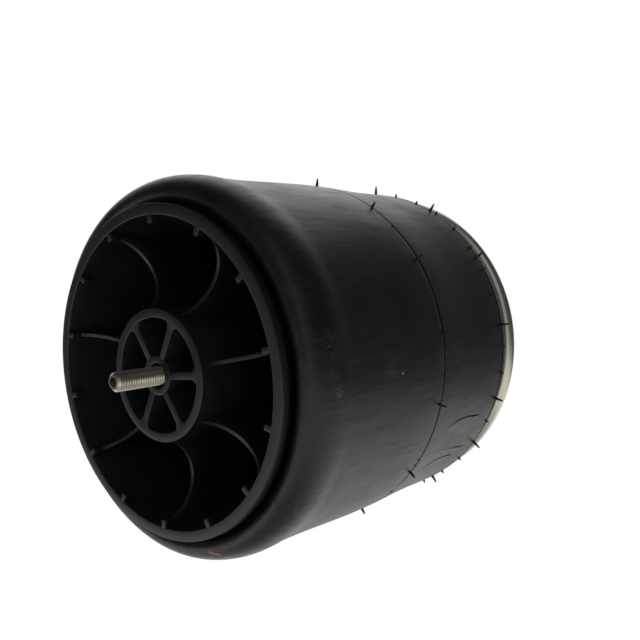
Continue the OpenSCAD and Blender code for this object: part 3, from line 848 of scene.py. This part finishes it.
# Painted shade along the mould lines and along the flow marks' creases, together with the hair lines
dark_lines = larger([
    mould_line_painted_shade(line_low_z), mould_line_painted_shade(line_high_z), first_crease_shade, second_crease_shade, third_crease_shade,
    hair_share.outputs[0]])
speckle = add_node(
    tree, "ShaderNodeTexNoise", {"Vector": place}, {"Scale": 900, "Detail": 5, "Roughness": 0.75})
speckle_share = add_node(
    tree, "ShaderNodeMapRange", {"Value": speckle.outputs[0]},
    {"From Min": 0.5, "From Max": 0.66, "To Min": 0.05, "To Max": 1.0})
# Painted highlights beside the three flow marks, with real pale scuffs
scuffs_and_crease_highlights = larger([
    first_crease_highlight, second_crease_highlight, third_crease_highlight, smudge((-122.3, 27.1, 187), 7, 0.45, 2.2),
    smudge((-121.1, 32.5, 170), 6, 0.5, 2.4), smudge((-124.9, 11, 167), 8, 0.3, 1.5),
    smudge((-119, 20, 120), 14, 0.12, 2.0)])
scuffed_and_highlit = add_node(
    tree, "ShaderNodeMix", {0: scuffs_and_crease_highlights, 6: streaked.outputs[2]},
    {7: linear("#6a6f70")}, data_type="RGBA")
dust = larger([
    smudge((-98.4, 75, 25.5), 5.5, 0.95), smudge((-101, 71, 27), 3.5, 0.5),
    smudge((-93, 80.5, 22), 9, 0.35), smudge((-80, 93, 20.6), 14, 0.3),
    smudge((-93.6, 81.3, 77), 11, 0.3), smudge((-96.5, 81, 134), 13, 0.3),
    smudge((-94.9, 82.5, 157), 10, 0.25)])
dust_share = add_node(
    tree, "ShaderNodeMath", {0: dust, 1: speckle_share.outputs[0]}, operation="MULTIPLY")
dusty = add_node(
    tree, "ShaderNodeMix", {0: dust_share.outputs[0], 6: scuffed_and_highlit.outputs[2]},
    {7: linear("#857764")}, data_type="RGBA")
specked = add_node(
    tree, "ShaderNodeMix", {0: smudge((-97.4, 77.5, 87.9), 1.1, 1.0), 6: dusty.outputs[2]},
    {7: linear("#b9b6ae")}, data_type="RGBA")
crayon_half_l = 4.5
crayon_half_w = 1.0
crayon_soft = 0.4
crayon_middle = Vector((-97.5, -61.5, 8.3))
crayon_face = Vector((-0.47, -0.32, -0.82))
crayon_way = Vector((-0.75, 0.6, 0.2)).normalized()
crayon_across = crayon_way.cross(crayon_face).normalized()
from_crayon = add_node(
    tree, "ShaderNodeVectorMath", {0: place}, {1: crayon_middle * mm}, operation="SUBTRACT")
crayon_sides = []
for way, half in ((crayon_way, crayon_half_l), (crayon_across, crayon_half_w)):
    at_side = add_node(
        tree, "ShaderNodeVectorMath", {0: from_crayon.outputs[0]}, {1: way}, operation="DOT_PRODUCT")
    side_off = add_node(tree, "ShaderNodeMath", {0: at_side.outputs["Value"]}, operation="ABSOLUTE")
    crayon_sides.append(add_node(
        tree, "ShaderNodeMapRange", {"Value": side_off.outputs[0]},
        {"From Min": (half - crayon_soft) * mm, "From Max": (half + crayon_soft) * mm,
         "To Min": 1.0, "To Max": 0.0}))
crayon_spot = add_node(
    tree, "ShaderNodeMath", {0: crayon_sides[0].outputs[0], 1: crayon_sides[1].outputs[0]},
    operation="MULTIPLY")
crayon = add_node(tree, "ShaderNodeMath", {
    0: crayon_spot.outputs[0], 1: smudge(crayon_middle, 14, 1.0)}, operation="MULTIPLY")
crayoned = add_node(
    tree, "ShaderNodeMix", {0: crayon.outputs[0], 6: specked.outputs[2]},
    {7: linear("#a8525a")}, data_type="RGBA")
# The painted shade of the mould lines and the creases goes in here, near black
lined = add_node(
    tree, "ShaderNodeMix", {0: dark_lines, 6: crayoned.outputs[2]},
    {7: linear("#08090a")}, data_type="RGBA")
tree.links.new(lined.outputs[2], skin.inputs["Base Color"])
skin_noise = add_node(
    tree, "ShaderNodeTexNoise", {"Vector": place}, {"Scale": 350, "Detail": 6, "Roughness": 0.6})
height_sum = add_node(
    tree, "ShaderNodeMath", {0: streak.outputs[0], 1: skin_noise.outputs[0]}, operation="ADD")
cover_grain = add_node(
    tree, "ShaderNodeBump", {"Height": height_sum.outputs[0]},
    {"Strength": 0.35, "Distance": 0.12 * mm})
slow_place = add_node(tree, "ShaderNodeMapping", {"Vector": place}, {"Scale": (1.0, 1.0, 0.3)})
slow_wave = add_node(
    tree, "ShaderNodeTexNoise", {"Vector": slow_place.outputs[0]},
    {"Scale": 55, "Detail": 4, "Roughness": 0.55})
cover_waves = add_node(
    tree, "ShaderNodeBump", {"Height": slow_wave.outputs[0], "Normal": cover_grain.outputs[0]},
    {"Strength": 0.7, "Distance": 1.0 * mm})
tree.links.new(cover_waves.outputs[0], skin.inputs["Normal"])
cover_rough = add_node(
    tree, "ShaderNodeMapRange", {"Value": bloom.outputs[0]},
    {"From Min": 0.3, "From Max": 0.7, "To Min": 0.36, "To Max": 0.5})
streaky_rough = add_node(
    tree, "ShaderNodeMath", {0: streak_share.outputs[0], 2: cover_rough.outputs[0]}, {1: 0.35},
    operation="MULTIPLY_ADD")
line_rough = add_node(
    tree, "ShaderNodeMix", {0: dark_lines, 2: streaky_rough.outputs[0]}, {3: 0.9})
tree.links.new(line_rough.outputs[0], skin.inputs["Roughness"])
line_shine = add_node(
    tree, "ShaderNodeMapRange", {"Value": dark_lines}, {"To Min": 0.5, "To Max": 0.05})
tree.links.new(line_shine.outputs[0], skin.inputs["Specular IOR Level"])
skin.inputs["IOR"].default_value = 1.5
skin.inputs["Sheen Weight"].default_value = 0.02
skin.inputs["Sheen Roughness"].default_value = 0.4
dress(sleeve, cover)
dress(wrap, cover)

# Vent whiskers
# Rubber that ran into the mould's vents and was pulled out with the sleeve. Long whiskers stand
# about 24 degrees apart on both mould lines, a little unevenly. The upper line has short ones
# between them, and the lower line a few trimmed nubs.
low_long = (60.9, 84.6, 107.9, 132, 154, 179.4, 204.3, 228, 252, 276, 300, 324, 348, 12, 36.5)
low_nubs = (94.5, 145, 173.8, 176.3, 190, 240, 287, 335, 22)
high_long = (56.7, 81.6, 107, 132.2, 158.2, 176.9, 199.9, 224, 248, 272, 296, 320, 344, 8, 32.5)
high_short_count = 39
high_short_first = 65.8
high_short_clear = 2.5
low_long_l = 5.4
low_nub_l = 1.0
high_long_l = 7.0
high_short_l = 2.8
whisker_r = 1.1
whisker_lean = (4, -7, 2, 9, -3, 6, -8, 1, 5, -5, 8, -2, 3, -6, 7)


def whisker(name, foot_z, azimuth, length, root_r, lean):
    """Turns one whisker upright, tips it a little, then lays it out from the sleeve."""
    made = turned(name, [
        (root_r * 1.5, 0), (root_r * 1.1, 0.35), (root_r, 0.9), (root_r * 0.75, length * 0.6),
        (root_r * 0.4, length)], 10, "capped")
    out = Matrix.Rotation(math.radians(azimuth), 4, "Z") @ Matrix.Translation(
        ((sleeve_r - 0.4) * mm, 0, foot_z * mm)) @ Matrix.Rotation(math.radians(90 + lean), 4, "Y")
    made.data.transform(out)
    return made


def whisker_row(name, foot_z, azimuths, lengths):
    """Sets whiskers round one mould line, each with its own lean and length."""
    row = []
    for i, (azimuth, length) in enumerate(zip(azimuths, lengths)):
        lean = whisker_lean[i % len(whisker_lean)]
        row.append(whisker(
            f"{name}_{i + 1}", foot_z, azimuth, length * (1 + 0.012 * lean),
            whisker_r * (0.7 + 0.05 * length), lean))
    joined = join_all(name, row)
    finish_edges(joined, 0, sharp=50)
    dress(joined, inner_rubber)
    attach(joined, "plate")


high_short = [high_short_first + i * (360 / high_short_count) for i in range(high_short_count)]
high_short = [
    a for a in high_short
    if min(abs((a - b + 180) % 360 - 180) for b in high_long) > high_short_clear]
whisker_row(
    "vent_whiskers_low", line_low_z, list(low_long) + list(low_nubs),
    [low_long_l] * len(low_long) + [low_nub_l] * len(low_nubs))
whisker_row(
    "vent_whiskers_high", line_high_z, list(high_long) + high_short,
    [high_long_l] * len(high_long) + [high_short_l] * len(high_short))

# Bead plate
# A disc pressed from 2.5 mm zinc plated sheet, with its edge rolled under round the bead of
# the bellows. The rolled edge is what shows past the sleeve.
plate_z = 258
plate_t = 2.5
plate_r = 123.8
plate_under_z = plate_z - plate_t
plate_steps = 240
cap_r = 20
flat_r = 80
roll_r = 6
roll_end = -125
roll_middle_r = plate_r - roll_r
roll_middle_z = plate_z - roll_r
plate = turned("bead_plate_pressing", (
    [(cap_r, plate_z), (flat_r, plate_z)]
    + on_oval(roll_middle_r, roll_middle_z, roll_r, roll_r, 90, roll_end, 36)
    + on_oval(roll_middle_r, roll_middle_z, roll_r - plate_t, roll_r - plate_t, roll_end, 90, 30)
    + [(flat_r, plate_under_z), (cap_r, plate_under_z)]), plate_steps, "capped")
finish_edges(plate, 0.25, 2, sharp=50)
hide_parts("bead_plate")
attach(plate, "plate")

# Bright zinc on cold-rolled sheet: pale and slightly yellow, with drawing marks round the roll
sheet_zinc, tree, skin = new_finish("zinc_plated_sheet")
place = add_node(tree, "ShaderNodeTexCoord").outputs["Object"]
haze = add_node(
    tree, "ShaderNodeTexNoise", {"Vector": place}, {"Scale": 25, "Detail": 6, "Roughness": 0.6})
sheet_colour = add_node(
    tree, "ShaderNodeMix", {0: haze.outputs[0]},
    {6: linear("#bdbcae"), 7: linear("#dcdccf")}, data_type="RGBA")
tree.links.new(sheet_colour.outputs[2], skin.inputs["Base Color"])
sheet_rough = add_node(
    tree, "ShaderNodeMapRange", {"Value": haze.outputs[0]}, {"To Min": 0.24, "To Max": 0.42})
tree.links.new(sheet_rough.outputs[0], skin.inputs["Roughness"])
rolled = add_node(tree, "ShaderNodeTexNoise", {"Vector": place}, {"Scale": 800, "Detail": 3})
sheet_grain = add_node(
    tree, "ShaderNodeBump", {"Height": rolled.outputs[0]}, {"Strength": 0.1, "Distance": 0.03 * mm})
tree.links.new(sheet_grain.outputs[0], skin.inputs["Normal"])
skin.inputs["Metallic"].default_value = 1
dress(plate, sheet_zinc)

# Mounting studs
# Two M12 weld studs stand through the plate, 130 mm apart, with their heads under it. They
# have the same rolled thread and plating as the piston's stud.
stud_spacing = 130
top_stud_l = 30
weld_head_r = 11
weld_head_t = 3
weld_head_chamfer = 1
weld_head_z = plate_under_z - weld_head_t
head_core_r = 4
thread_low_z = plate_z + 3
knurl_r = 6.5
top_stud_z = plate_z + top_stud_l
for side, side_name in ((-1, "left"), (1, "right")):
    thread = rolled_thread("thread", thread_root_r, stud_r, thread_low_z, top_stud_z)
    tip_form = turned("tip_form", [
        (core_r, plate_z + 1), (stud_r + cut_past, plate_z + 1),
        (stud_r + cut_past, top_stud_z - tip_chamfer - 0.1),
        (stud_r - tip_chamfer, top_stud_z + 0.1)], 64, "capped")
    cut_away(thread, tip_form, "INTERSECT")
    finish_edges(thread, 0, sharp=28)
    head = turned("head", [
        (head_core_r, weld_head_z), (weld_head_r - weld_head_chamfer, weld_head_z),
        (weld_head_r, weld_head_z + weld_head_chamfer), (weld_head_r, plate_under_z),
        (knurl_r, plate_under_z), (knurl_r, plate_z), (stud_r, plate_z),
        (stud_r, thread_low_z + 0.5), (head_core_r, thread_low_z + 0.5)], 64, "capped")
    finish_edges(head, 0)
    mounting_stud = join_all(f"mounting_stud_{side_name}_threaded", [thread, head])
    mounting_stud.data.transform(Matrix.Translation((side * stud_spacing / 2 * mm, 0, 0)))
    dress(mounting_stud, zinc)
    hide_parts(f"mounting_stud_{side_name}")
    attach(mounting_stud, "plate")

# Air inlet
# A turned steel boss with a tapped port for the air line, held by its flange under the plate
# against a flat seal.
inlet_offset = 70
inlet_r = 14
inlet_h = 14
port_r = 8
passage_r = 4
flange_r = 17
flange_t = 3
seal_t = 1.5
flange_z = plate_under_z - seal_t
inlet_top_z = plate_z + inlet_h
tap_root_r = 7.2
inlet = turned("air_inlet_tapped", [
    (passage_r, flange_z - flange_t), (flange_r, flange_z - flange_t), (flange_r, flange_z),
    (inlet_r, flange_z), (inlet_r, inlet_top_z), (port_r, inlet_top_z),
    (tap_root_r, inlet_top_z + tap_root_r - port_r), (tap_root_r, plate_z + 1),
    (passage_r, plate_z - 1)], 96)
finish_edges(inlet, 0.5)
tap = rolled_thread("tap", tap_root_r - cut_past, port_r, plate_z + 1.5, inlet_top_z + 1)
cut_away(inlet, tap)
finish_edges(inlet, 0, sharp=28)
inlet.data.transform(Matrix.Translation((0, -inlet_offset * mm, 0)))
dress(inlet, zinc)
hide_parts("air_inlet")
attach(inlet, "plate")
